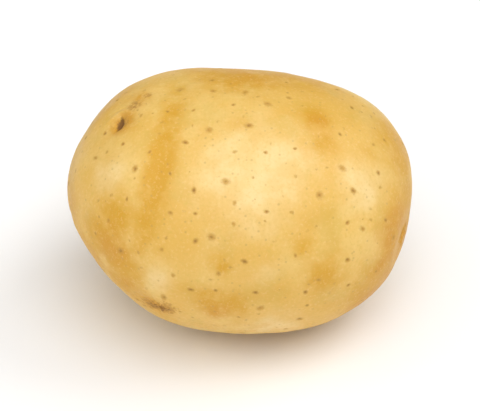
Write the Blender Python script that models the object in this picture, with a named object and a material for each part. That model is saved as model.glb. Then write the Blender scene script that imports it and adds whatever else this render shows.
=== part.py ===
"""A table potato, grown as one piece, lying on its side on a small flat spot.

Metres, +Z up. X runs along the potato, from the narrow end with the eyes (-X) to the
blunt end where it hung from its stem (+X). The origin is on the surface that the potato
rests on, under the middle of its bounding box.

Places on the skin are given as on a globe, in degrees: longitude 0 is the stem end,
90 the far side, 180 the narrow end and 270 the near side; latitude 90 is the top.
"""

import math

import bmesh
import bpy
from mathutils import Vector

# Driving dimensions: the finished potato's box.
LENGTH = 0.075
WIDTH = 0.059
HEIGHT = 0.055

# How deep the round underside is worn flat where it lies. The spot comes out about
# 20 mm long and 14 mm wide.
REST_DEPTH = 0.0008

# How full the ends are: 2 would be an ellipsoid, and more is blunter. The potato is oval
# across its length, whatever its ends are like.
FULLNESS = 2.25

# An icosphere of 5 gives 5,120 even triangles, about 2.5 mm on a side.
SUBDIVISIONS = 5

# Broad swells (+) and hollows (-): longitude, latitude, reach and height.
SWELLS = {
    "near shoulder of the narrow end": (205, 32, 0.014, 0.0009),
    "far shoulder of the narrow end": (134, 42, 0.014, 0.0010),
    "far top of the narrow end": (163, 16, 0.013, -0.0018),
    "far shoulder of the blunt end": (18, 20, 0.015, 0.0016),
    "near cheek of the blunt end": (322, -32, 0.017, 0.0008),
    "underside of the narrow end": (195, -20, 0.019, -0.0057),
    "far side hollow": (96, -6, 0.018, -0.0010),
    "far cheek of the blunt end": (48, -30, 0.016, 0.0010),
}

# The crease that sets off the narrow end: where it starts and ends, its half-width and
# its depth. It fades out towards both ends.
CREASE_START = (155, 60)
CREASE_END = (222, -6)
CREASE_HALF_WIDTH = 0.0062
CREASE_DEPTH = 0.0009

# Eyes, as shallow hollows: longitude and latitude. They wind round the potato and lie
# closest together at the narrow end.
EYES = {
    "crown eye": (180, 40),
    "tip eye": (170, -6),
    "low near eye": (232, -17),
    "low far eye": (140, -34),
    "far eye": (112, 22),
    "far blunt eye": (52, 28),
    "under eye": (288, -60),
    "under blunt eye": (22, -46),
}
EYE_REACH = 0.0034
EYE_DEPTH = 0.0008

# The scar of the stem, a shallow dimple in the blunt end.
STEM_SCAR = (347, -4)
STEM_SCAR_REACH = 0.0050
STEM_SCAR_DEPTH = 0.0012

SKIN_COLOUR = (0.80, 0.52, 0.17, 1.0)
SKIN_ROUGHNESS = 0.42


def clear_scene():
    for thing in list(bpy.data.objects):
        bpy.data.objects.remove(thing, do_unlink=True)


def towards(longitude, latitude):
    """The unit vector from the middle of the potato towards a place on its skin."""
    along = math.radians(longitude)
    up = math.radians(latitude)
    return Vector(
        (
            math.cos(along) * math.cos(up),
            math.sin(along) * math.cos(up),
            math.sin(up),
        )
    )


def on_plain_form(direction):
    """Where a ray from the middle meets the plain form, an oval with blunt ends."""
    along = abs(direction.x) / (LENGTH / 2)
    across = math.hypot(direction.y / (WIDTH / 2), direction.z / (HEIGHT / 2))
    return direction * (along**FULLNESS + across**FULLNESS) ** (-1 / FULLNESS)


def bell(distance, reach):
    """1 at the middle, falling smoothly to nothing a little past the reach."""
    return math.exp(-((distance / reach) ** 2))


def rise_at(place, centre, reach, height):
    """How far a swell or hollow moves the skin at a place."""
    return height * bell((place - on_plain_form(towards(*centre))).length, reach)


def crease_at(place):
    """How far the crease moves the skin at a place."""
    start = on_plain_form(towards(*CREASE_START))
    end = on_plain_form(towards(*CREASE_END))
    across = start.cross(end).normalized()
    run = (place - start).dot(end - start) / (end - start).length_squared
    fade = bell(run - 0.5, 0.45)
    return -CREASE_DEPTH * fade * bell(place.dot(across), CREASE_HALF_WIDTH)


def skin_place(direction):
    """Where a ray from the middle meets the finished skin."""
    place = on_plain_form(direction)
    rise = sum(
        rise_at(place, (longitude, latitude), reach, height)
        for longitude, latitude, reach, height in SWELLS.values()
    )
    rise += sum(rise_at(place, eye, EYE_REACH, -EYE_DEPTH) for eye in EYES.values())
    rise += rise_at(place, STEM_SCAR, STEM_SCAR_REACH, -STEM_SCAR_DEPTH)
    rise += crease_at(place)
    return place + direction * rise


def bounds(mesh):
    low = Vector(min(vert.co[axis] for vert in mesh.verts) for axis in range(3))
    high = Vector(max(vert.co[axis] for vert in mesh.verts) for axis in range(3))
    return low, high


def fit_to_size(mesh):
    """Centres the body over the origin, lowest point at 0, and gives it its full size.

    It is made taller by what the flat spot will take off.
    """
    low, high = bounds(mesh)
    foot = Vector(((low.x + high.x) / 2, (low.y + high.y) / 2, low.z))
    bmesh.ops.translate(mesh, vec=-foot, verts=mesh.verts)
    size = high - low
    scale = (LENGTH / size.x, WIDTH / size.y, (HEIGHT + REST_DEPTH) / size.z)
    bmesh.ops.scale(mesh, vec=scale, verts=mesh.verts)


def cut_rest_spot(mesh):
    """Slices off the lowest REST_DEPTH, closes the cut and sets it down at height 0."""
    bmesh.ops.bisect_plane(
        mesh,
        geom=mesh.verts[:] + mesh.edges[:] + mesh.faces[:],
        plane_co=(0, 0, REST_DEPTH),
        plane_no=(0, 0, -1),
        clear_outer=True,
    )
    rim = [edge for edge in mesh.edges if edge.is_boundary]
    bmesh.ops.contextual_create(mesh, geom=rim)
    bmesh.ops.translate(mesh, vec=(0, 0, -REST_DEPTH), verts=mesh.verts)
    bmesh.ops.recalc_face_normals(mesh, faces=mesh.faces)


def skin_material():
    skin = bpy.data.materials.new("potato_skin")
    skin.use_nodes = True
    shader = skin.node_tree.nodes["Principled BSDF"]
    shader.inputs["Base Color"].default_value = SKIN_COLOUR
    shader.inputs["Roughness"].default_value = SKIN_ROUGHNESS
    shader.inputs["Metallic"].default_value = 0.0
    return skin


def make_potato():
    body = bmesh.new()
    bmesh.ops.create_icosphere(body, subdivisions=SUBDIVISIONS, radius=1)
    for vert in body.verts:
        vert.co = skin_place(vert.co.normalized())
    fit_to_size(body)
    cut_rest_spot(body)
    mesh = bpy.data.meshes.new("potato")
    body.to_mesh(mesh)
    body.free()
    mesh.shade_smooth()
    mesh.materials.append(skin_material())
    potato = bpy.data.objects.new("potato", mesh)
    bpy.context.scene.collection.objects.link(potato)
    return potato


clear_scene()
make_potato()
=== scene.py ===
# %% [markdown]
# # A washed table potato
# This lesson turns a plain solid of a potato into one that looks freshly washed: the same
# size and place, with a real skin on it. A potato grows as one piece, so there is one mesh
# to make. It starts as a cube, becomes a ball, is wrapped onto the solid and made finer,
# and then gets its lumps, eyes, scars and pores as real relief before it is coloured.
#
# The solid says where everything is. X runs along the potato, from the narrow end with the
# most eyes (-X) to the blunt end where it hung from its stem (+X). The near side is -Y, and
# it rests on a small flat spot at height 0.

import math

import bpy
import numpy as np
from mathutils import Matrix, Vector


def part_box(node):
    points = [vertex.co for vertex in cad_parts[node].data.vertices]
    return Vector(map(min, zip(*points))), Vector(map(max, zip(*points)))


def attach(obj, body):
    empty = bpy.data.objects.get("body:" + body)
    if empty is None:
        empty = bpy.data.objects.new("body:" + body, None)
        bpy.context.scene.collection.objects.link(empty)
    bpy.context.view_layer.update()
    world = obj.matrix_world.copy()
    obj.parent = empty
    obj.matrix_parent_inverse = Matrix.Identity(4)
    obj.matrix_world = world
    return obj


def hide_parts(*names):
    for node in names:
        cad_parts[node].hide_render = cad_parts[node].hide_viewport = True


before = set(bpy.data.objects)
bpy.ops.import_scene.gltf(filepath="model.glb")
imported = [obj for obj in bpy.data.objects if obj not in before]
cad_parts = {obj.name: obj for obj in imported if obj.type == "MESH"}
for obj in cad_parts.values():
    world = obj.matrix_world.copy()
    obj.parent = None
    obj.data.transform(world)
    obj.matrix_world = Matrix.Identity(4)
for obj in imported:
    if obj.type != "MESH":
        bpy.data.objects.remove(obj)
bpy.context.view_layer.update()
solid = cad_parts["potato"]
low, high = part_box("potato")
middle = (low + high) / 2
MM = 0.001
print("the solid measures", [round(side / MM, 1) for side in high - low], "mm")

# %% [markdown]
# ## Small tools
# Blender's operators act on whatever is selected, so each step first selects only the piece
# that it works on. A modifier is applied at once, because a finished piece is plain mesh.


# %% Tools for selecting and editing
def only(piece):
    """Deselects everything, then selects this piece and makes it active."""
    bpy.ops.object.select_all(action="DESELECT")
    piece.select_set(True)
    bpy.context.view_layer.objects.active = piece


def edit_all(piece):
    """Opens a piece for editing with all of it selected."""
    only(piece)
    bpy.ops.object.mode_set(mode="EDIT")
    bpy.ops.mesh.select_all(action="SELECT")


def edit_some(piece, kind, chosen):
    """Opens a piece for editing with only the chosen vertices or polygons selected."""
    only(piece)
    mesh = piece.data
    for part in (mesh.vertices, mesh.edges, mesh.polygons):
        part.foreach_set("select", np.zeros(len(part), bool))
    getattr(mesh, kind).foreach_set("select", chosen)
    by_vertex = kind == "vertices"
    bpy.context.tool_settings.mesh_select_mode = (by_vertex, False, not by_vertex)
    bpy.ops.object.mode_set(mode="EDIT")


def leave_edit():
    """Closes the piece that is open for editing."""
    bpy.ops.object.mode_set(mode="OBJECT")


print("loading left", len(bpy.context.selected_objects), "object selected")


# %% Tools for applying and measuring
def apply_modifier(piece, modifier):
    """Applies a modifier, so that its shape becomes the piece's own mesh."""
    only(piece)
    bpy.ops.object.modifier_apply(modifier=modifier.name)


def places_of(piece):
    """Every vertex's place, as one row of three numbers each."""
    places = np.empty(len(piece.data.vertices) * 3)
    piece.data.vertices.foreach_get("co", places)
    return places.reshape(-1, 3)


def triangles_of(piece):
    """How many triangles the piece has when each face is cut into triangles."""
    return sum(len(face.vertices) - 2 for face in piece.data.polygons)


print("the solid has", triangles_of(solid), "triangles")

# %% [markdown]
# ## The body
# A ball could be a UV sphere, but its faces crowd together at two poles, where a skin
# pattern would pinch. A cube whose faces are subdivided and blown up to a ball has no
# poles, and its faces are nearly square all over, which suits fine relief.

# %% Blow a cube up to a ball of the potato's size
CAGE_CUTS = 25

bpy.ops.object.select_all(action="DESELECT")
bpy.ops.mesh.primitive_cube_add(size=2)
potato = bpy.context.object
potato.name = "whole_potato"
potato.data.name = "whole_potato"
edit_all(potato)
bpy.ops.mesh.subdivide(number_cuts=CAGE_CUTS)
bpy.ops.transform.tosphere(value=1)
leave_edit()
radius = np.linalg.norm(places_of(potato), axis=1).mean()
edit_all(potato)
bpy.ops.transform.resize(value=(high - low) / (2 * radius), center_override=(0, 0, 0))
bpy.ops.transform.translate(value=middle)
leave_edit()
print("the ball has", len(potato.data.polygons), "faces")

# %% [markdown]
# The ball is then wrapped onto the solid, so that the potato keeps the solid's size and
# place. The solid's flat facets would show in a sheen, so the wrapped mesh is smoothed a
# little, and Subdivision Surface makes it four times finer each way.

# %% Wrap the ball onto the solid, smooth it and make it finer
SMOOTHINGS = 3
FINER_LEVELS = 2

wrap = potato.modifiers.new("wrap", "SHRINKWRAP")
wrap.target = solid
wrap.wrap_method = "NEAREST_SURFACEPOINT"
apply_modifier(potato, wrap)
edit_all(potato)
bpy.ops.mesh.vertices_smooth(factor=0.5, repeat=SMOOTHINGS)
leave_edit()
finer = potato.modifiers.new("finer", "SUBSURF")
finer.levels = FINER_LEVELS
finer.render_levels = FINER_LEVELS
apply_modifier(potato, finer)
print("the body has", triangles_of(potato), "triangles")

# %% [markdown]
# ## Places on the skin
# A place on the skin is given as on a globe: longitude 0 is the blunt stem end, 90 the far
# side, 180 the narrow end and 270 the near side, and latitude 90 is the top. A ray from
# the middle finds the skin there. At each place, "along" points over the skin towards the
# narrow end, and "across" runs round the potato's girth.


# %% Find a place on the skin
def towards(longitude, latitude):
    """The direction from the potato's middle towards a place on its skin."""
    turn = math.radians(longitude)
    rise = math.radians(latitude)
    flat = math.cos(rise)
    return Vector((math.cos(turn) * flat, math.sin(turn) * flat, math.sin(rise)))


def spot_towards(direction, turn=0.0):
    """The place where a ray meets the skin, with the ways along and across there.

    A turn, in degrees, turns along and across about the normal.
    """
    _, place, normal, _ = potato.ray_cast(middle, direction)
    along = (Vector((-1, 0, 0)) + normal * normal.x).normalized()
    across = normal.cross(along)
    angle = math.radians(turn)
    turned = along * math.cos(angle) + across * math.sin(angle)
    return np.array((place, turned, normal.cross(turned)))


def seen_from(spot, places):
    """How far places lie along and across from a spot, and straight away from it."""
    place, along, across = spot
    away = places - place
    return away @ along, away @ across, np.linalg.norm(away, axis=1)


crown = spot_towards(towards(180, 40))[0]
print("the crown is at", [round(number / MM, 1) for number in crown], "mm")

# %% [markdown]
# Two soft shapes make nearly all of the relief and patches: a bell, which fades with
# distance, and a wobble, which keeps every outline from being perfect.


# %% Soft shapes
def bell(distance, reach):
    """1 at the middle, over a third at the reach and almost nothing at twice the reach."""
    return np.exp(-((distance / reach) ** 2))


def wobble(places, size):
    """Waves of about that size over the skin, -1 to 1, so that no outline is perfect."""
    x, y, z = (places * 2 * math.pi / size).T
    first = np.sin(x + 1.3 * np.sin(0.8 * y + 0.5))
    second = np.sin(y + 1.1 * np.sin(0.9 * z + 2.0))
    third = np.sin(z + 1.2 * np.sin(0.7 * x + 4.0))
    return (first + second + third) / 3


print("at its reach a bell has fallen to", round(float(bell(1, 1)), 2))

# %% [markdown]
# ## What grows where
# Eyes wind round a potato and crowd together at the narrow end. Each has a turn of its own,
# which says where its brow lies, and a size.

# %% Places of the eyes and scars
EYES = {  # longitude, latitude, turn and size
    "crown": (180, 40, 78, 1.0),
    "tip": (170, -6, 5, 1.5),
    "low near": (232, -17, 35, 1.0),
    "low far": (140, -34, -20, 1.3),
    "far": (112, 22, 12, 1.45),
    "far blunt": (52, 28, -15, 1.2),
    "under": (288, -60, 15, 1.15),
    "under blunt": (22, -46, -10, 1.0),
}
STEM_SCAR = (347, -4)

eyes = {
    name: spot_towards(towards(longitude, latitude), turn)
    for name, (longitude, latitude, turn, _) in EYES.items()
}
stem_scar = spot_towards(towards(*STEM_SCAR))
print(len(eyes), "eyes and a stem scar")

# %% [markdown]
# Lenticels, the small brown pores that the skin breathes through, lie all over in no order.
# Some clear ones are put where this potato has them, and a seeded scatter adds the rest,
# the same each time, with a least spacing so that none of them touch.

# %% How the lenticels are spread
SEED = 7
KNOWN_LENTICELS = (  # longitude and latitude
    (228, 44), (237, 30), (222, 58), (214, 17), (192, 29), (257, 24), (261, 8), (243, 5),
    (265, 62), (267, 39), (212, 38), (330, 38), (327, 29), (318, 20), (323, 15), (334, 12),
    (314, 6), (302, 1), (298, -12), (293, 60), (196, 40), (182, 49),
)
CLEAR_COUNT = 130
FAINT_COUNT = 300
CLEAR_SPACING = 4.4 * MM
FAINT_SPACING = 1.9 * MM
EYE_SPACING = 3.4 * MM
REST_CLEARANCE = 1.2 * MM
TRIES_PER_SPOT = 15

draw = np.random.default_rng(SEED)
print(len(KNOWN_LENTICELS), "lenticels have a place of their own")


# %% Places of the lenticels
def scatter(count, spacing, taken, gap):
    """Random spots on the skin, spaced from each other and from the places taken."""
    spots = []
    for _ in range(count * TRIES_PER_SPOT):
        spot = spot_towards(Vector(draw.normal(size=3)))
        others = [np.linalg.norm(other - spot[0]) for other in taken]
        siblings = [np.linalg.norm(other[0] - spot[0]) for other in spots]
        roomy = min(others) > gap and min(siblings, default=1) > spacing
        if roomy and spot[0][2] > REST_CLEARANCE:
            spots.append(spot)
        if len(spots) == count:
            break
    return spots


clear_spots = [spot_towards(towards(*place)) for place in KNOWN_LENTICELS]
taken = [spot[0] for spot in (*eyes.values(), stem_scar, *clear_spots)]
clear_spots += scatter(CLEAR_COUNT, CLEAR_SPACING, taken, EYE_SPACING)
taken = [spot[0] for spot in (*eyes.values(), stem_scar, *clear_spots)]
faint_spots = scatter(FAINT_COUNT, FAINT_SPACING, taken, FAINT_SPACING)
print(len(clear_spots), "clear and", len(faint_spots), "faint lenticels")

# %% [markdown]
# ## Finer mesh where the detail is
# An eye's slit and a lenticel are each only about a millimetre wide, so the mesh is
# subdivided once more around each eye, the stem scar and each clear lenticel, and once
# again in the middle of the eyes and the scar.

# %% Subdivide around the eyes and the lenticels
WHOLE_EYE = 4.8 * MM
EYE_SLIT = 2.2 * MM
WHOLE_LENTICEL = 1.0 * MM


def subdivide_near(spots, reach):
    """Halves the edges of the faces that are near any of the spots."""
    middles = np.empty(len(potato.data.polygons) * 3)
    potato.data.polygons.foreach_get("center", middles)
    middles = middles.reshape(-1, 3)
    near = np.zeros(len(middles), bool)
    for spot in spots:
        near |= np.linalg.norm(middles - spot[0], axis=1) < reach
    edit_some(potato, "polygons", near)
    bpy.ops.mesh.subdivide(number_cuts=1, ngon=False)
    leave_edit()


eyes_and_scar = (*eyes.values(), stem_scar)
subdivide_near(eyes_and_scar, WHOLE_EYE)
subdivide_near(clear_spots, WHOLE_LENTICEL)
subdivide_near(eyes_and_scar, EYE_SLIT)
print("the skin now has", triangles_of(potato), "triangles")

# %% [markdown]
# ## Relief
# Relief is painted as weights and pushed out or in by a Displace modifier, the way a
# carver marks a surface before cutting. A push takes a height for every vertex, and a
# roughening gives a textured height to the vertices that are painted.

# %% Tools that push and roughen the skin
WEIGHT_STEPS = 1000


def paint_weights(piece, values):
    """Paints the only vertex group with values between 0 and 1, in even steps."""
    piece.vertex_groups.clear()
    group = piece.vertex_groups.new(name="painted")
    steps = np.round(values * WEIGHT_STEPS).astype(int)
    order = np.argsort(steps, kind="stable")
    levels, starts = np.unique(steps[order], return_index=True)
    for level, members in zip(levels, np.split(order, starts[1:])):
        if level > 0:
            group.add(members.tolist(), int(level) / WEIGHT_STEPS, "REPLACE")


def displace(piece, painted, strength, mid_level=0.0, texture=None):
    """Moves the painted vertices along their normals, by the strength where the paint is 1."""
    paint_weights(piece, painted)
    move = piece.modifiers.new("move", "DISPLACE")
    move.vertex_group = "painted"
    move.strength = strength
    move.mid_level = mid_level
    move.texture_coords = "LOCAL"
    move.texture = texture
    apply_modifier(piece, move)
    piece.vertex_groups.clear()


def push(piece, heights):
    """Moves every vertex along its normal by its height, outward where it is above 0."""
    for way in (1, -1):
        part = (way * heights).clip(0)
        if part.max() > 0:
            displace(piece, part / part.max(), way * part.max())


def roughen(piece, painted, size, height):
    """Lumps of a size and height where the skin is painted."""
    clouds = bpy.data.textures.new("lumps", "CLOUDS")
    clouds.noise_scale = size
    clouds.noise_depth = 1
    displace(piece, painted, height, 0.5, clouds)


print("weights are painted in steps of", 1 / WEIGHT_STEPS)

# %% [markdown]
# The skin is never quite even. Slow lumps about a centimetre apart make the sheen wander,
# and finer ones break it up. Both fade out at the flat spot, which stays flat.

# %% Slow lumps and fine ones
LUMPS = {"slow": (11 * MM, 0.50 * MM), "fine": (4.0 * MM, 0.14 * MM)}  # size and height
CALM_ABOVE_REST = 3 * MM

places = places_of(potato)
free = 1 - bell(places[:, 2], CALM_ABOVE_REST)
for name, (size, height) in LUMPS.items():
    roughen(potato, free, size, height)
    print(name, "lumps are at most", round(height / MM, 2), "mm from trough to crest")

# %% [markdown]
# A crease sets off the narrow end, as where growth stopped in a dry spell and went on after
# rain. The solid has it as a broad valley, and here it gets its floor. It fades at its ends.

# %% Deepen the crease
CREASE = ((157, 61), (190, 60), (212, 52), (222, 42), (227, 32), (229, 20), (226, 4))
CREASE_FLOOR = 3.0 * MM
CREASE_DEPTH = 0.45 * MM
END_FADE = 0.55  # of the whole run, from its middle


def band(points, reach, places):
    """A soft band along a line of points over the skin, weaker at its two ends."""
    amount = np.zeros(len(places))
    spots = [spot_towards(towards(*point))[0] for point in points]
    for number, (start, end) in enumerate(zip(spots, spots[1:])):
        run = ((places - start) @ (end - start)) / ((end - start) @ (end - start))
        run = run.clip(0, 1)
        nearest = start + run[:, None] * (end - start)
        away = np.linalg.norm(places - nearest, axis=1)
        whole_run = (number + run) / (len(spots) - 1)
        amount = np.maximum(amount, bell(away, reach) * bell(whole_run - 0.5, END_FADE))
    return amount


places = places_of(potato)
push(potato, -CREASE_DEPTH * band(CREASE, CREASE_FLOOR, places))
print("the crease is", round(CREASE_DEPTH / MM, 2), "mm deeper than the solid's")

# %% [markdown]
# An eye is where a bud sleeps. It sits in a shallow hollow under a curved brow, the scar of
# a tiny leaf, with a dark slit between them and a few wrinkles behind the brow. The crown
# eye is a narrow pit instead, with its brow well behind it.

# %% Sizes round an eye
EYE_REACH = 9 * MM
CORKY_REACH = 3.0 * MM
CURL_DIAMETER = 7 * MM
HOLLOW_REACH = 2.6 * MM
HOLLOW_DEPTH = 0.55 * MM
SLIT_DEPTH = 0.60 * MM
BROW_REACH = (0.6 * MM, 2.6 * MM)  # along and across
BROW_HEIGHT = 0.36 * MM
BUD_PLACE = 0.4 * MM
BUD_REACH = 0.7 * MM
BUD_HEIGHT = 0.30 * MM
WRINKLES_BEHIND_BROW = 1.6 * MM
WRINKLES_REACH = (1.3 * MM, 2.8 * MM)  # along and across
WRINKLE_SPACING = 0.95 * MM
WRINKLE_HEIGHT = 0.12 * MM
WAVER = 0.18 * MM
WAVER_SIZE = 2.6 * MM
SLITS = {  # place along the eye, reach along and reach across
    "usual": (-1.0 * MM, 0.45 * MM, 1.7 * MM),
    "crown": (0.0, 2.20 * MM, 1.05 * MM),
}
BROW_PLACES = {"usual": -1.75 * MM, "crown": -3.0 * MM}
print("a usual eye's slit is about", round(2 * SLITS["usual"][2] / MM, 1), "mm long")


# %% Shape the eyes
def soft_bar(arc, across, place, thick, wide):
    """1 on a soft bar that crosses an eye at a place along it, and 0 well away from it."""
    return bell(arc - place, thick) * bell(across, wide)


def eye_fields(spot, size, kind, places):
    """Heights round one eye, how deep in its slit and how near its middle a place is."""
    along, across, away = (distance / size for distance in seen_from(spot, places))
    curl = across**2 / CURL_DIAMETER
    arc = along - curl + WAVER * wobble(places, WAVER_SIZE)
    brow_place = BROW_PLACES[kind]
    wrinkle_place = brow_place - WRINKLES_BEHIND_BROW
    hollow = bell(np.hypot(along * 1.15, across), HOLLOW_REACH)
    slit = soft_bar(arc, across, *SLITS[kind])
    brow = soft_bar(arc, across, brow_place, *BROW_REACH)
    bud = bell(np.hypot(along - BUD_PLACE, across * 0.7), BUD_REACH) if kind == "usual" else 0
    behind = soft_bar(arc, across, wrinkle_place, *WRINKLES_REACH)
    wrinkles = np.cos(2 * math.pi * arc / WRINKLE_SPACING) * behind
    heights = BROW_HEIGHT * brow + BUD_HEIGHT * bud + WRINKLE_HEIGHT * wrinkles
    heights = heights - HOLLOW_DEPTH * hollow - SLIT_DEPTH * slit
    here_only = away < EYE_REACH
    return heights * size * here_only, slit * here_only, bell(away, CORKY_REACH)


places = places_of(potato)
heights = np.zeros(len(places))
slits = np.zeros(len(places))
round_eyes = np.zeros(len(places))
for name, spot in eyes.items():
    size = EYES[name][-1]
    kind = "crown" if name == "crown" else "usual"
    eye_heights, slit, near = eye_fields(spot, size, kind, places)
    heights += eye_heights
    slits = np.maximum(slits, slit)
    round_eyes = np.maximum(round_eyes, near)
push(potato, heights)
print("the eyes reach", round(-heights.min() / MM, 2), "mm in")

# %% [markdown]
# The stem scar is a small ringed dimple with a corky floor, where the potato hung from its
# stem. Its ring is broken in places, as a healed wound is.

# %% Shape the stem scar
RING_RADIUS = 2.5 * MM
RING_THICKNESS = 0.6 * MM
RING_HEIGHT = 0.28 * MM
DIMPLE_REACH = 1.8 * MM
DIMPLE_DEPTH = 0.75 * MM

away = seen_from(stem_scar, places)[2]
wavy = 1 + 0.22 * wobble(places, 4.5 * MM)
jagged = 0.2 * MM * wobble(places, 1.4 * MM)
broken = 0.65 + 0.35 * wobble(places, 3.1 * MM)
uneven = away * wavy + jagged
ring = bell(uneven - RING_RADIUS, RING_THICKNESS) * broken
dimple = bell(uneven, DIMPLE_REACH)
push(potato, RING_HEIGHT * ring - DIMPLE_DEPTH * dimple)
stem_cork = np.maximum(dimple, 0.6 * ring)
print("the scar's ring is", round(2 * RING_RADIUS / MM, 1), "mm across")

# %% [markdown]
# The scab is a rough patch that healed over a scrape on the near side, by an eye low down
# at the narrow end. It stands a little proud, and it and the stem scar are then roughened
# together, because cork is lumpy wherever it grows.

# %% Shape the scab and roughen the cork
SCAB = (233, -17, 35)  # longitude, latitude and turn
SCAB_REACH_ALONG = 4.14 * MM
SCAB_REACH_ACROSS = 2.53 * MM
SCAB_HEIGHT = 0.32 * MM
CORK_LUMP_SIZE = 0.9 * MM
CORK_LUMP_HEIGHT = 0.48 * MM

along, across, away = seen_from(spot_towards(towards(*SCAB[:2]), SCAB[2]), places)
ragged_edge = 1 + 0.35 * wobble(places, 2.0 * MM)
out = np.hypot(along / SCAB_REACH_ALONG, across / SCAB_REACH_ACROSS) * ragged_edge
scab = bell(out, 1) * (away < EYE_REACH)
push(potato, SCAB_HEIGHT * scab)
roughen(potato, np.maximum(stem_cork, scab), CORK_LUMP_SIZE, CORK_LUMP_HEIGHT)
print("the scab is about", round(2 * SCAB_REACH_ALONG / MM, 1), "mm long")

# %% [markdown]
# A lenticel is a pore with a slightly raised rim. Each is oval, with its own size and turn.
# The clear ones have a depth too, and the faint ones are only small dots of colour.

# %% Sizes of the lenticels
# Places and reaches are in radii of the pore, and the rim's height is a share of its depth.
PIT_REACH = 0.7
RIM_PLACE = 1.2
RIM_REACH = 0.4
RIM_SHARE = 0.4
FIELD_REACH = 3.2

clear_radii = (0.29 + 0.36 * draw.uniform(0, 1, len(clear_spots)) ** 2) * MM
clear_depths = draw.uniform(0.04, 0.12, len(clear_spots)) * MM
print("clear lenticels are", np.round(2 * clear_radii.min() / MM, 2), "mm across and more")


# %% Shape the lenticels
def lenticel_fields(spots, radii, depths, places):
    """Heights, and how far inside a pore a place is.

    Inside is 0 at a pore's edge, up to 1 in its middle and below 0 outside it.
    """
    heights = np.zeros(len(places))
    inside = np.full(len(places), -1.0)
    for spot, radius, depth in zip(spots, radii, depths):
        near = np.flatnonzero(np.abs(places - spot[0]).max(axis=1) < FIELD_REACH * radius)
        along, across, _ = seen_from(spot, places[near])
        turn = draw.uniform(0, math.pi)
        longer = draw.uniform(1.0, 1.6)
        strength = draw.uniform(0.4, 1.0)
        first = along * math.cos(turn) + across * math.sin(turn)
        second = across * math.cos(turn) - along * math.sin(turn)
        out = np.hypot(first / longer, second) / radius
        rim = RIM_SHARE * bell(out - RIM_PLACE, RIM_REACH)
        heights[near] += depth * (rim - bell(out, PIT_REACH))
        inside[near] = np.maximum(inside[near], strength * (1 - out))
    return heights, inside


places = places_of(potato)
clear_heights, clear_pores = lenticel_fields(clear_spots, clear_radii, clear_depths, places)
push(potato, clear_heights)
faint_radii = draw.uniform(0.26, 0.48, len(faint_spots)) * MM
no_depths = np.zeros(len(faint_spots))
_, faint_pores = lenticel_fields(faint_spots, faint_radii, no_depths, places)
print("the clear lenticels reach", round(-clear_heights.min() / MM, 2), "mm in")

# %% [markdown]
# The flat spot has to lie flat on the table, so what is within a hair of it is pressed
# down to height 0 exactly.

# %% Press the rest spot flat
HAIR = 0.03 * MM

lying = places_of(potato)[:, 2] < HAIR
edit_some(potato, "vertices", lying)
bpy.ops.transform.resize(value=(1, 1, 0), center_override=(0, 0, 0))
leave_edit()
only(potato)
bpy.ops.object.shade_smooth()
print(int(lying.sum()), "vertices lie on the table")

# %% [markdown]
# ## What the skin's colour follows
# Numbers stored on the vertices tell the material where things are: how corky the skin is,
# how dark a pore is, and where the yellow turns ochre, orange or pale. Some of the ochre and
# orange on the rims is painted shade, and some of the pale on the lit top and sides is painted
# highlight. The ochre follows the crease too, and three small corky marks run up from the
# crown eye. The material breaks up the edges of all of them with noise, so that none looks
# painted on.

# %% Where the skin is ochre, orange, pale or corky, with painted shade and highlight
# Each patch has a longitude, a latitude, a reach in millimetres and a strength.
# Partly painted shade: the broad patches on the two ends and along the far top rim darken and
# warm the rims as shade would. The patches along the crease are the skin's own ochre.
OCHRE_AND_SHADE_PATCHES = (
    (216, 20, 5.0, 1.0),
    (213, 9, 6.0, 1.0),
    (222, 2, 6.0, 1.0),
    (220, -10, 6.0, 1.0),
    (204, -4, 7.0, 0.9),
    (262, 12, 3.0, 0.8),
    (258, -7, 4.5, 1.0),
    (268, -9, 4.5, 0.9),
    (298, 16, 3.5, 0.6),
    (304, 2, 6.0, 0.8),
    (327, -14, 9.0, 1.0),
    (190, 8, 6.0, 0.8),
    (158, 30, 10.0, 0.7),
    (95, 62, 11.0, 0.9),
    (50, 50, 10.0, 0.8),
    (352, 57, 4.5, 0.8),
    (335, 49, 3.5, 0.8),
    (350, 4, 9.0, 1.0),
    (4, 20, 9.0, 1.0),
    (90, -10, 11.0, 0.7),
    (130, -20, 8.0, 0.8),
    (40, -30, 9.0, 0.7),
)
# Partly painted shade: the broad patches low on the blunt end darken and warm its lower rim as
# shade would. The small ones round the eyes and the scab are the skin's own orange.
ORANGE_AND_SHADE_PATCHES = (
    (347, 55, 3.4, 0.7),
    (338, 5, 6.0, 1.0),
    (333, -6, 5.0, 1.0),
    (328, -22, 6.0, 0.8),
    (350, -10, 9.0, 0.9),
    (218, 8, 5.5, 0.7),
    (260, -14, 3.5, 0.8),
    (110, 30, 4.0, 0.6),
    (160, -14, 4.0, 0.6),
    (181, 41, 3.6, 1.0),
    (166, 47, 3.4, 0.7),
    (224, -8, 3.5, 0.6),
    (233, -17, 4.2, 0.9),
    (342, -22, 9.0, 1.0),
    (75, 68, 9.0, 0.5),
)
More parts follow.
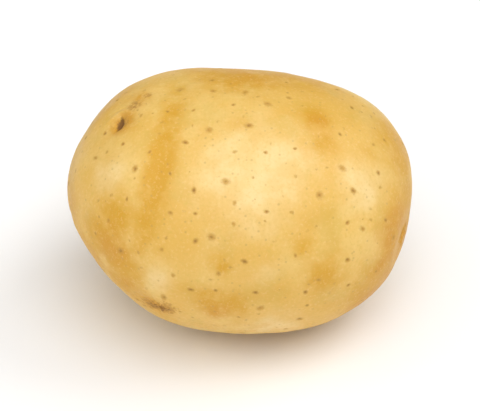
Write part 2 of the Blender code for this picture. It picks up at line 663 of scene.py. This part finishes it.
# Partly painted light: the patches at longitudes 281, 204 and 332 are painted highlights on
# the lit top and sides, and the one at 280 is painted light low on the near side. The others
# lighten the skin in smaller patches.
PALE_AND_HIGHLIGHT_PATCHES = (
    (237, 2, 3.8, 1.0),
    (281, 50, 15.0, 0.85),
    (280, 8, 6.0, 0.45),
    (262, 26, 7.0, 0.45),
    (332, 28, 7.0, 0.9),
    (204, 30, 5.0, 0.8),
    (80, 25, 10.0, 0.6),
    (285, -30, 9.0, 0.7),
)
CORKY_PATCHES = ((181, 41, 2.3, 0.70), (171, 46, 2.2, 0.72), (163, 50, 1.6, 0.60))
CREASE_WASH = 3.8 * MM
patch_count = len(OCHRE_AND_SHADE_PATCHES + ORANGE_AND_SHADE_PATCHES + PALE_AND_HIGHLIGHT_PATCHES + CORKY_PATCHES)
print(patch_count, "patches of colour")


# %% Store what the colour follows
def store(name, values):
    """Stores one number for each vertex, for the material to read by name."""
    attribute = potato.data.attributes.new(name, "FLOAT", "POINT")
    attribute.data.foreach_set("value", np.asarray(values, np.float32))
    lowest, highest = np.round((np.min(values), np.max(values)), 2)
    print(name, "runs from", lowest, "to", highest)


def patches(table, places):
    """Soft round patches, the strongest winning where they meet."""
    amount = np.zeros(len(places))
    for longitude, latitude, reach, strength in table:
        away = seen_from(spot_towards(towards(longitude, latitude)), places)[2]
        amount = np.maximum(amount, strength * bell(away, reach * MM))
    return amount


places = places_of(potato)
store("ochre", np.maximum(patches(OCHRE_AND_SHADE_PATCHES, places), band(CREASE, CREASE_WASH, places)))
store("orange", patches(ORANGE_AND_SHADE_PATCHES, places))
store("pale", patches(PALE_AND_HIGHLIGHT_PATCHES, places))
corky = patches(CORKY_PATCHES, places)
store("cork", np.maximum.reduce([stem_cork, scab, 0.5 * round_eyes, corky]))
store("slit", slits)
store("clear_pore", clear_pores)
store("faint_pore", faint_pores)

# %% [markdown]
# ## The skin
# One Principled shader carries the whole skin. Yellow skin is never one yellow: it drifts
# between straw and ochre over centimetres and is mottled over millimetres. Pores and cork
# are brown and dull, and the skin between them has the soft sheen of a washed potato.

# %% Start the skin's material
skin = bpy.data.materials.new("potato_skin")
skin.use_nodes = True
tree = skin.node_tree
shader = tree.nodes["Principled BSDF"]
here = tree.nodes.new("ShaderNodeTexCoord").outputs["Object"]


def feed(socket, value):
    """Gives a socket a plain value, or links another node's output to it."""
    if isinstance(value, bpy.types.NodeSocket):
        tree.links.new(value, socket)
    else:
        socket.default_value = value


print("the skin's material starts with", len(tree.nodes), "nodes")


# %% Tools that make patterns
def noise(per_metre, detail=3.0, roughness=0.55):
    """Soft noise with so many lumps to the metre, its values mostly from 0.3 to 0.7."""
    made = tree.nodes.new("ShaderNodeTexNoise")
    feed(made.inputs["Vector"], here)
    feed(made.inputs["Scale"], per_metre)
    feed(made.inputs["Detail"], detail)
    feed(made.inputs["Roughness"], roughness)
    return made.outputs["Fac"]


def stored(name):
    """A number that was stored on the vertices."""
    made = tree.nodes.new("ShaderNodeAttribute")
    made.attribute_name = name
    return made.outputs["Fac"]


def combine(operation, first, second):
    """Two values put together by one of the Math node's operations."""
    made = tree.nodes.new("ShaderNodeMath")
    made.operation = operation
    feed(made.inputs[0], first)
    feed(made.inputs[1], second)
    return made.outputs[0]


def ramp(value, start, end, low=0.0, high=1.0):
    """Low at the start and before it, high at the end and past it, and smooth between."""
    made = tree.nodes.new("ShaderNodeMapRange")
    made.interpolation_type = "SMOOTHSTEP"
    feed(made.inputs["Value"], value)
    feed(made.inputs["From Min"], start)
    feed(made.inputs["From Max"], end)
    feed(made.inputs["To Min"], low)
    feed(made.inputs["To Max"], high)
    return made.outputs["Result"]


def blend(amount, under, over):
    """Lays one colour over another by an amount.

    A Mix node has sockets of other kinds too: inputs 6 and 7 and output 2 are colours.
    """
    made = tree.nodes.new("ShaderNodeMix")
    made.data_type = "RGBA"
    feed(made.inputs[0], amount)
    feed(made.inputs[6], under)
    feed(made.inputs[7], over)
    return made.outputs[2]


print("every pattern follows the", here.name, "coordinates")

# %% [markdown]
# ### Straw, ochre and olive
# The ground colour is laid down first, broad tones before fine ones, as a painter would.
# Mixing with ramps of noise keeps each tone's share easy to see and change.

# %% The ground colour
STRAW = (0.79, 0.525, 0.150, 1)
OCHRE = (0.74, 0.438, 0.080, 1)
DEEP_OCHRE = (0.66, 0.345, 0.022, 1)
OLIVE = (0.62, 0.410, 0.070, 1)

drift = noise(48, detail=2)
mottle = noise(190, detail=4, roughness=0.6)
ochre_clouds = noise(120, detail=3)
olive_clouds = noise(110, detail=3)
colour = blend(ramp(drift, 0.36, 0.62), STRAW, OCHRE)
colour = blend(ramp(mottle, 0.47, 0.72, 0.0, 0.60), colour, OCHRE)
colour = blend(ramp(ochre_clouds, 0.52, 0.72, 0.0, 0.45), colour, DEEP_OCHRE)
colour = blend(ramp(olive_clouds, 0.50, 0.68, 0.0, 0.35), colour, OLIVE)
print("broad ground colours:", len(tree.nodes), "nodes so far")

# %% [markdown]
# Over the broad tones come the stored washes of pale, ochre and orange, each with a ragged
# edge, and last a close grain of olive and pale specks. Part of the pale wash is painted
# highlight, and part of the ochre and orange washes is painted shade on the rims.

# %% Washes and grain
ORANGE = (0.63, 0.292, 0.008, 1)
PALE = (0.86, 0.630, 0.275, 1)

# The pale wash is partly a painted highlight. It lightens the skin where the lamps shine most.
ragged_pale_and_highlight = combine("MULTIPLY", stored("pale"), ramp(mottle, 0.3, 0.6, 1.0, 0.6))
colour = blend(ramp(ragged_pale_and_highlight, 0.05, 0.8, 0.0, 0.90), colour, PALE)
ragged_edge = ramp(noise(330, detail=4), 0.30, 0.62, 0.55, 1.0)
# The ochre and orange washes are partly painted shade, darkening and warming the rims.
washes = ((stored("ochre"), DEEP_OCHRE, 1.0), (stored("orange"), ORANGE, 0.90))
for wash, tone, strength in washes:
    ragged_wash = combine("MULTIPLY", wash, ragged_edge)
    colour = blend(ramp(ragged_wash, 0.05, 0.78, 0.0, strength), colour, tone)
grain = noise(1500, detail=3, roughness=0.6)
colour = blend(ramp(grain, 0.50, 0.75, 0.0, 0.35), colour, OLIVE)
colour = blend(ramp(grain, 0.48, 0.25, 0.0, 0.30), colour, PALE)
print("with washes and grain:", len(tree.nodes), "nodes so far")

# %% [markdown]
# ### Flecks, pores and cork
# Flecks too fine to model come from a Voronoi texture: each of its cells may hold one dot.
# A lenticel has a tan rim and a brown core. Cork, as in the eyes, the stem scar and the
# scab, is a dull tan that cracks into brown.

# %% Flecks
FLECK_TAN = (0.50, 0.30, 0.075, 1)
FLECK_STRENGTH = 0.45
CELLS_PER_METRE = 700
EMPTY_SHARE = 0.70

cells = tree.nodes.new("ShaderNodeTexVoronoi")
feed(cells.inputs["Vector"], here)
feed(cells.inputs["Scale"], CELLS_PER_METRE)
cell_number = tree.nodes.new("ShaderNodeSeparateColor")
feed(cell_number.inputs["Color"], cells.outputs["Color"])
has_dot = ramp(cell_number.outputs["Red"], EMPTY_SHARE, EMPTY_SHARE + 0.02)
dot = ramp(cells.outputs["Distance"], 0.08, 0.26, 1.0, 0.0)
fleck = combine("MULTIPLY", has_dot, dot)
colour = blend(combine("MULTIPLY", fleck, FLECK_STRENGTH), colour, FLECK_TAN)
print("with flecks:", len(tree.nodes), "nodes so far")

# %% Pores
PORE_TAN = (0.53, 0.28, 0.045, 1)
PORE_BROWN = (0.31, 0.155, 0.027, 1)

ragged = ramp(noise(1900, detail=2), 0.3, 0.7, -0.12, 0.12)
clear_pore = combine("ADD", stored("clear_pore"), ragged)
faint_pore = combine("ADD", stored("faint_pore"), ragged)
colour = blend(ramp(faint_pore, -0.10, 0.45, 0.0, 0.75), colour, PORE_TAN)
colour = blend(ramp(clear_pore, -0.50, 0.25, 0.0, 0.75), colour, PORE_TAN)
colour = blend(ramp(clear_pore, 0.15, 0.72, 0.0, 0.80), colour, PORE_BROWN)
print("with pores:", len(tree.nodes), "nodes so far")

# %% Cork and slits
CORK_TAN = (0.50, 0.255, 0.045, 1)
CORK_BROWN = (0.25, 0.108, 0.015, 1)
SLIT_BROWN = (0.19, 0.078, 0.010, 1)

crust = noise(1300, detail=4, roughness=0.65)
cork = combine("MULTIPLY", stored("cork"), ramp(crust, 0.3, 0.65, 0.45, 1.15))
colour = blend(ramp(cork, 0.22, 0.60, 0.0, 0.80), colour, CORK_TAN)
colour = blend(ramp(cork, 0.55, 0.95, 0.0, 0.85), colour, CORK_BROWN)
slit = combine("ADD", stored("slit"), ramp(crust, 0.3, 0.7, -0.12, 0.12))
colour = blend(ramp(slit, 0.30, 0.75, 0.0, 0.95), colour, SLIT_BROWN)
feed(shader.inputs["Base Color"], colour)
print("with cork and slits:", len(tree.nodes), "nodes so far")

# %% [markdown]
# ### Sheen and feel
# Washed skin is satin: its roughness wanders a little, and pores and cork are dull. A fine
# bump, measured in metres like the mesh, gives the close texture that is too small to
# model. The flesh just under the skin lets a little light through.

# %% Roughness
SATIN_LOW = 0.44
SATIN_HIGH = 0.56
DULLER_BY = 0.25

satin = ramp(noise(150, detail=3), 0.3, 0.7, SATIN_LOW, SATIN_HIGH)
dull = combine("MAXIMUM", ramp(clear_pore, -0.2, 0.3), ramp(cork, 0.2, 0.6))
dull = combine("MAXIMUM", dull, ramp(slit, 0.1, 0.4))
roughness = combine("ADD", satin, combine("MULTIPLY", dull, DULLER_BY))
fine_change = ramp(grain, 0.3, 0.7, -0.03, 0.03)
feed(shader.inputs["Roughness"], combine("ADD", roughness, fine_change))
print("clean skin has a roughness of", SATIN_LOW, "to", SATIN_HIGH)

# %% Bump
PEEL_HEIGHT = 0.100 * MM
GRAIN_HEIGHT = 0.030 * MM
CRUST_HEIGHT = 0.12 * MM

peel = combine("MULTIPLY", noise(600, detail=3), PEEL_HEIGHT)
fine = combine("MULTIPLY", grain, GRAIN_HEIGHT)
crusty = combine("MULTIPLY", combine("MULTIPLY", crust, stored("cork")), CRUST_HEIGHT)
bump = tree.nodes.new("ShaderNodeBump")
feed(bump.inputs["Distance"], 1.0)
feed(bump.inputs["Height"], combine("ADD", combine("ADD", peel, fine), crusty))
feed(shader.inputs["Normal"], bump.outputs["Normal"])
print("the peel's bumps are at most", PEEL_HEIGHT / MM, "mm high")

# %% Gloss and glow
feed(shader.inputs["Metallic"], 0.0)
feed(shader.inputs["IOR"], 1.45)
feed(shader.inputs["Specular IOR Level"], 0.60)
feed(shader.inputs["Subsurface Weight"], 0.15)
feed(shader.inputs["Subsurface Radius"], (1.0, 0.55, 0.20))
feed(shader.inputs["Subsurface Scale"], 1.5 * MM)
potato.data.materials.clear()
potato.data.materials.append(skin)
print("the whole skin:", len(tree.nodes), "nodes")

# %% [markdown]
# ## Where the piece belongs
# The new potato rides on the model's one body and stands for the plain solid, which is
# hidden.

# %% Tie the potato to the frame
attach(potato, "root")
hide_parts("potato")
print(potato.name, "has", triangles_of(potato), "triangles")

# %% [markdown]
# ## The studio
# The potato lies on a seamless white table, as for a catalogue. The table is a wide plane
# a hair below the flat spot, so that the two surfaces never share one height.

# %% Table
TABLE_SIZE = 12
TABLE_WHITE = (0.93, 0.93, 0.93, 1)
BELOW_SKIN = 0.02 * MM

bpy.ops.object.select_all(action="DESELECT")
bpy.ops.mesh.primitive_plane_add(size=TABLE_SIZE, location=(0, 0, -BELOW_SKIN))
table = bpy.context.object
table.name = "table"
white = bpy.data.materials.new("table_white")
white.use_nodes = True
white_shader = white.node_tree.nodes["Principled BSDF"]
white_shader.inputs["Base Color"].default_value = TABLE_WHITE
white_shader.inputs["Roughness"].default_value = 0.7
table.data.materials.append(white)
print("the table is", TABLE_SIZE, "metres wide")

# %% [markdown]
# The room gives a soft fill, brighter from above than from the sides, and the camera sees
# it plain white. A Light Path node tells the two apart, so the backdrop can be bright while
# the potato keeps its shading.

# %% Room
ROOM_LOW = 0.10
ROOM_HIGH = 0.36
ROOM_WHITE = 1.0
world = bpy.data.worlds.new("room")
bpy.context.scene.world = world
world.use_nodes = True
sky = world.node_tree
room = sky.nodes["Background"]
room.inputs["Color"].default_value = (1, 1, 1, 1)
direction = sky.nodes.new("ShaderNodeTexCoord")
parts = sky.nodes.new("ShaderNodeSeparateXYZ")
height = sky.nodes.new("ShaderNodeMapRange")
height.inputs["To Min"].default_value = ROOM_LOW
height.inputs["To Max"].default_value = ROOM_HIGH
rays = sky.nodes.new("ShaderNodeLightPath")
shown = sky.nodes.new("ShaderNodeMapRange")
shown.inputs["To Max"].default_value = ROOM_WHITE
sky.links.new(direction.outputs["Generated"], parts.inputs[0])
sky.links.new(parts.outputs["Z"], height.inputs["Value"])
sky.links.new(height.outputs["Result"], shown.inputs["To Min"])
sky.links.new(rays.outputs["Is Camera Ray"], shown.inputs["Value"])
sky.links.new(shown.outputs["Result"], room.inputs["Strength"])
print("the room lights with", ROOM_LOW, "low down and", ROOM_HIGH, "overhead")

# %% [markdown]
# Five soft lamps do the rest. The overhead one, a little to the front and right, puts the
# broad sheen on top, and a wider, dimmer one like a pale ceiling softens its shadow. One on
# the left, one in front and one on the right brighten those sides. Sun lamps stand in for
# softboxes far away, because their light is the same all over the table.


# %% Lamps
def aim(direction):
    """The turn that points a lamp or camera back along a direction."""
    return direction.to_track_quat("Z", "Y").to_euler()


def soft_lamp(name, direction, spread, brightness):
    """A far round lamp so many degrees across, by how bright its disc looks."""
    bpy.ops.object.light_add(type="SUN", location=direction, rotation=aim(direction))
    lamp = bpy.context.object
    lamp.name = name
    lamp.data.angle = math.radians(spread)
    disc = 2 * math.pi * (1 - math.cos(lamp.data.angle / 2))
    lamp.data.energy = brightness * disc
    print(name, "gives", round(lamp.data.energy, 2), "watts to the square metre")


LAMPS = {  # direction, degrees across and how bright the disc looks
    "overhead_lamp": ((0.17, -0.38, 0.91), 48, 1.80),
    "ceiling_lamp": ((-0.05, -0.22, 0.97), 100, 0.44),
    "left_lamp": ((-0.90, 0.05, 0.43), 30, 1.15),
    "front_lamp": ((-0.35, -0.80, 0.48), 70, 0.55),
    "right_lamp": ((0.68, 0.18, 0.71), 40, 2.35),
}
for name, (direction, spread, brightness) in LAMPS.items():
    soft_lamp(name, Vector(direction), spread, brightness)

# %% [markdown]
# The camera looks down from the near side with a long lens, so that the potato keeps its
# true proportions. The lens follows from how wide the view is at the potato.

# %% Camera
CAMERA_RISE = math.radians(40)
CAMERA_DISTANCE = 1.2
VIEW_WIDTH = 0.104
VIEW_HEIGHT = 26.2 * MM
SENSOR_WIDTH = 36

target = Vector((0, 0, VIEW_HEIGHT))
back = Vector((0, -math.cos(CAMERA_RISE), math.sin(CAMERA_RISE)))
bpy.ops.object.camera_add(location=target + back * CAMERA_DISTANCE, rotation=aim(back))
camera = bpy.context.object
camera.data.sensor_width = SENSOR_WIDTH
camera.data.lens = SENSOR_WIDTH * CAMERA_DISTANCE / VIEW_WIDTH
bpy.context.scene.camera = camera
bpy.context.scene.view_settings.view_transform = "Standard"
print("the lens is", round(camera.data.lens), "mm")
